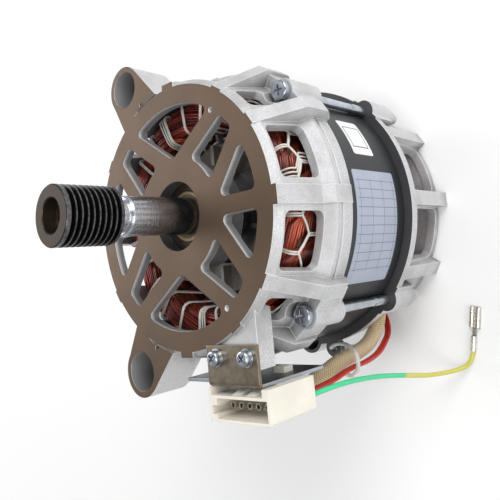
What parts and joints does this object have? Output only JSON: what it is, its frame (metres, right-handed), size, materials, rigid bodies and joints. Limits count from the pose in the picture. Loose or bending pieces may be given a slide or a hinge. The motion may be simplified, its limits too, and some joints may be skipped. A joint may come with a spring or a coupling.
{
  "type": "three-phase motor",
  "caption": "Compact induction motor with open cast end shields, exposed lamination stack in a dark wrap, ribbed belt pulley, side mounting ears, plug bracket and free earth lead.",
  "frame": {"origin": "on the shaft axis in the outer plane of the rear shield, on which the motor stands", "axes": "+Z along the shaft towards the pulley; +Y towards the mounting ears; +X to the right ear, so the connector is on the -X side and the nameplate faces -Y"},
  "size_m": [0.1749, 0.1536, 0.1873],
  "materials": {
    "cast": "as-cast, light grey",
    "laminations": "stacked sheet",
    "wrap": "satin dark grey film",
    "liner": "slot paper",
    "copper": "enamelled copper wire, dark red-brown",
    "slot_key": "slot closure strip",
    "lacing": "white lacing cord",
    "protector": "black can",
    "cage": "die-cast",
    "shaft_steel": "ground and polished",
    "pulley_oxide": "black oxide",
    "bearing_steel": "ground bearing steel",
    "bearing_cover": "pressed steel shield",
    "spring_steel": "spring steel",
    "zinc": "bluish zinc plate",
    "bracket_steel": "dark plated sheet",
    "ivory": "ivory nylon",
    "tin": "tinned brass",
    "sleeving": "woven glass-fibre sleeve, tan",
    "white_lead": "lead insulation",
    "red_lead": "red lead insulation",
    "tie": "natural nylon, translucent",
    "ground": "green insulation with a yellow stripe",
    "plate": "pale blue-white plate, bare",
    "sticker": "white sticker with a plain frame"
  },
  "bodies": {
    "housing": {"front_shield": "cast", "rear_shield": "cast", "stator_core": "laminations", "stator_wrap": "wrap", "slot_liners": "liner", "coil_sides": "copper", "slot_wedges": "slot_key", "front_winding": "copper", "rear_winding": "copper", "front_lacing": "lacing", "rear_lacing": "lacing", "thermal_protector": "protector", "front_outer_ring": "bearing_steel", "front_bearing_shields": "bearing_cover", "rear_outer_ring": "bearing_steel", "rear_bearing_shields": "bearing_cover", "wave_spring": "spring_steel", "through_bolts": "zinc", "connector_bracket": "bracket_steel", "bracket_screws": "zinc", "bracket_washers": "zinc", "connector_housing": "ivory", "connector_contacts": "tin", "lead_sleeve": "sleeving", "phase_leads": "white_lead", "protector_leads": "red_lead", "cable_tie": "tie", "ground_lead": "ground", "ground_terminal": "tin", "nameplate": "plate", "inspection_sticker": "sticker"},
    "rotor": {"rotor_core": "laminations", "rotor_cage": "cage", "shaft": "shaft_steel", "pulley": "pulley_oxide", "front_inner_ring": "bearing_steel", "rear_inner_ring": "bearing_steel"},
    "front_ball_set": {"front_balls": "bearing_steel", "front_ball_cage": "bearing_cover"},
    "rear_ball_set": {"rear_balls": "bearing_steel", "rear_ball_cage": "bearing_cover"}
  },
  "joints": [
    {"name": "rotor_spin", "type": "hinge", "parent": "housing", "child": "rotor", "pos_m": [0, 0, 0.065], "axis": [0, 0, 1], "continuous": true},
    {"name": "front_ball_orbit", "type": "hinge", "parent": "housing", "child": "front_ball_set", "pos_m": [0, 0, 0.118], "axis": [0, 0, 1], "continuous": true},
    {"name": "rear_ball_orbit", "type": "hinge", "parent": "housing", "child": "rear_ball_set", "pos_m": [0, 0, 0.013], "axis": [0, 0, 1], "continuous": true}
  ],
  "couplings": [
    {"joint": "front_ball_orbit", "follows": "rotor_spin", "ratio": 0.3825},
    {"joint": "rear_ball_orbit", "follows": "rotor_spin", "ratio": 0.382}
  ]
}
